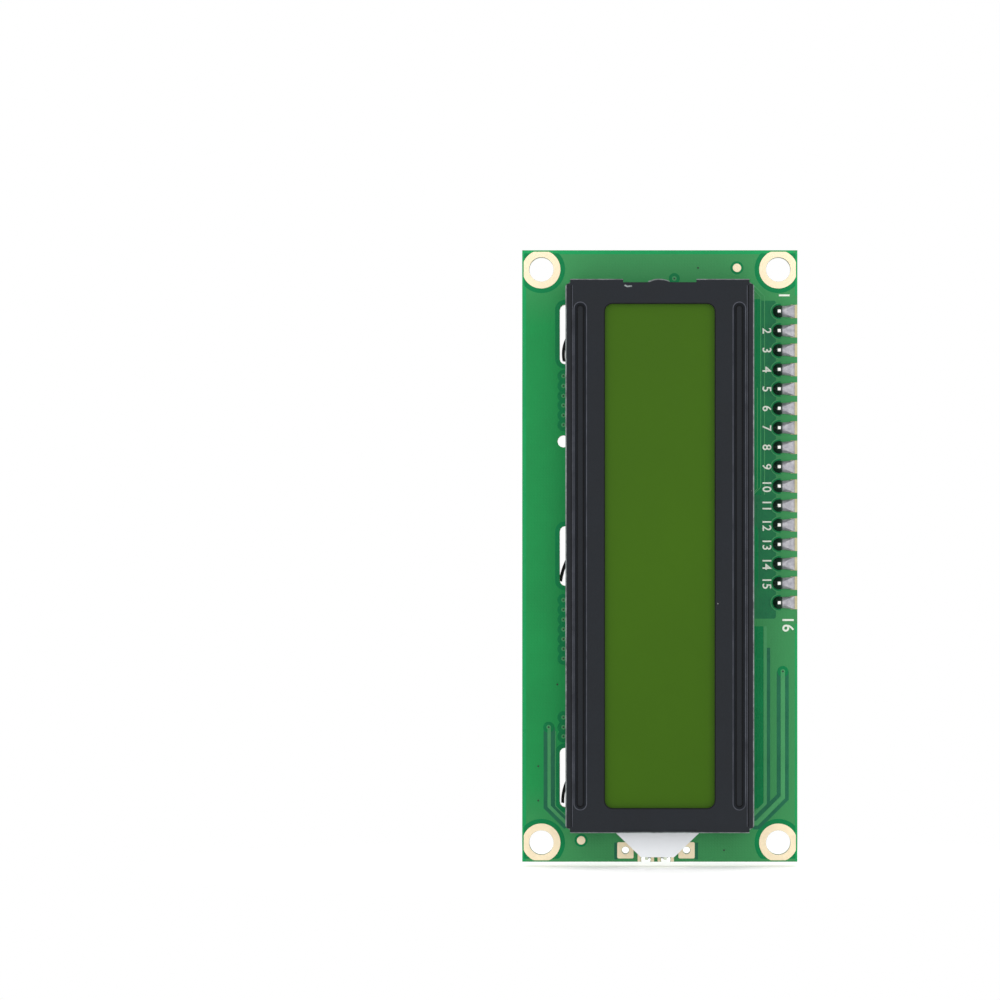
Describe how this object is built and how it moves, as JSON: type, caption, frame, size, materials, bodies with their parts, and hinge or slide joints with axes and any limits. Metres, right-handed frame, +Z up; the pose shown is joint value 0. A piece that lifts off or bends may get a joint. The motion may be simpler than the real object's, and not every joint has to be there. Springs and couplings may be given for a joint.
{
  "type": "character lcd module",
  "caption": "Two-line character display module on a green board, with a black serial adapter board, trimmer and jumper cap on its back.",
  "frame": {"origin": "centre of the four mounting holes, on the front face of the main board", "axes": "+X across the module towards the header's edge, +Y from the screen to the back, +Z up the long side towards the serial pins"},
  "size_m": [0.036, 0.0178, 0.0805],
  "materials": {
    "board_green": "satin",
    "board_black": "gloss",
    "bezel_black": "matte",
    "screen_film": "satin",
    "cell_glass": "gloss",
    "light_plate": "satin",
    "white_film": "satin",
    "pink_rubber": "matte",
    "epoxy_black": "gloss",
    "header_plastic": "satin",
    "pin_metal": "satin",
    "solder": "gloss",
    "chip_black": "matte",
    "lead_tin": "satin",
    "trimmer_blue": "satin",
    "rotor_metal": "satin",
    "resistor_black": "satin",
    "capacitor_tan": "satin",
    "lamp_clear": "gloss",
    "clip_metal": "satin"
  },
  "bodies": {
    "module": {"adapter_board": "board_black", "adapter_capacitor": "capacitor_tan", "adapter_resistor_1": "resistor_black", "adapter_resistor_2": "resistor_black", "adapter_resistor_3": "resistor_black", "adapter_resistor_4": "resistor_black", "adapter_resistor_5": "resistor_black", "adapter_resistor_6": "resistor_black", "adapter_resistor_7": "resistor_black", "adapter_solder_joints": "solder", "backlight_lamp": "lamp_clear", "bezel": "bezel_black", "controller_drop": "epoxy_black", "diffuser_film": "white_film", "display_resistor_1": "resistor_black", "display_resistor_2": "resistor_black", "display_resistor_3": "resistor_black", "display_resistor_4": "resistor_black", "display_resistor_5": "resistor_black", "display_resistor_6": "resistor_black", "display_solder_joints": "solder", "driver_drop": "epoxy_black", "expander_chip": "chip_black", "expander_leads": "lead_tin", "front_glass": "cell_glass", "front_polarizer": "screen_film", "header_pins": "pin_metal", "header_strip": "header_plastic", "jumper_header_block": "header_plastic", "jumper_header_pins": "pin_metal", "lamp_solder": "solder", "left_contact_strip": "pink_rubber", "light_plate": "light_plate", "link_solder": "solder", "main_board": "board_green", "power_lamp": "lamp_clear", "rear_glass": "cell_glass", "rear_polarizer": "screen_film", "reflector_film": "white_film", "right_contact_strip": "pink_rubber", "serial_header_block": "header_plastic", "serial_header_pins": "pin_metal", "transistor": "chip_black", "transistor_legs": "lead_tin", "trimmer_body": "trimmer_blue", "trimmer_legs": "lead_tin"},
    "rotor": {"trimmer_rotor": "rotor_metal"},
    "cap": {"jumper_cap": "header_plastic", "jumper_clip": "clip_metal"}
  },
  "joints": [
    {"name": "trimmer_turn", "type": "hinge", "parent": "module", "child": "rotor", "pos_m": [0.0089, 0.0104, 0.02453], "axis": [0, 1, 0], "range_deg": [-120, 120]},
    {"name": "jumper_pull", "type": "slide", "parent": "module", "child": "cap", "axis": [0, 0, -1], "range_m": [0, 0.0043]}
  ]
}
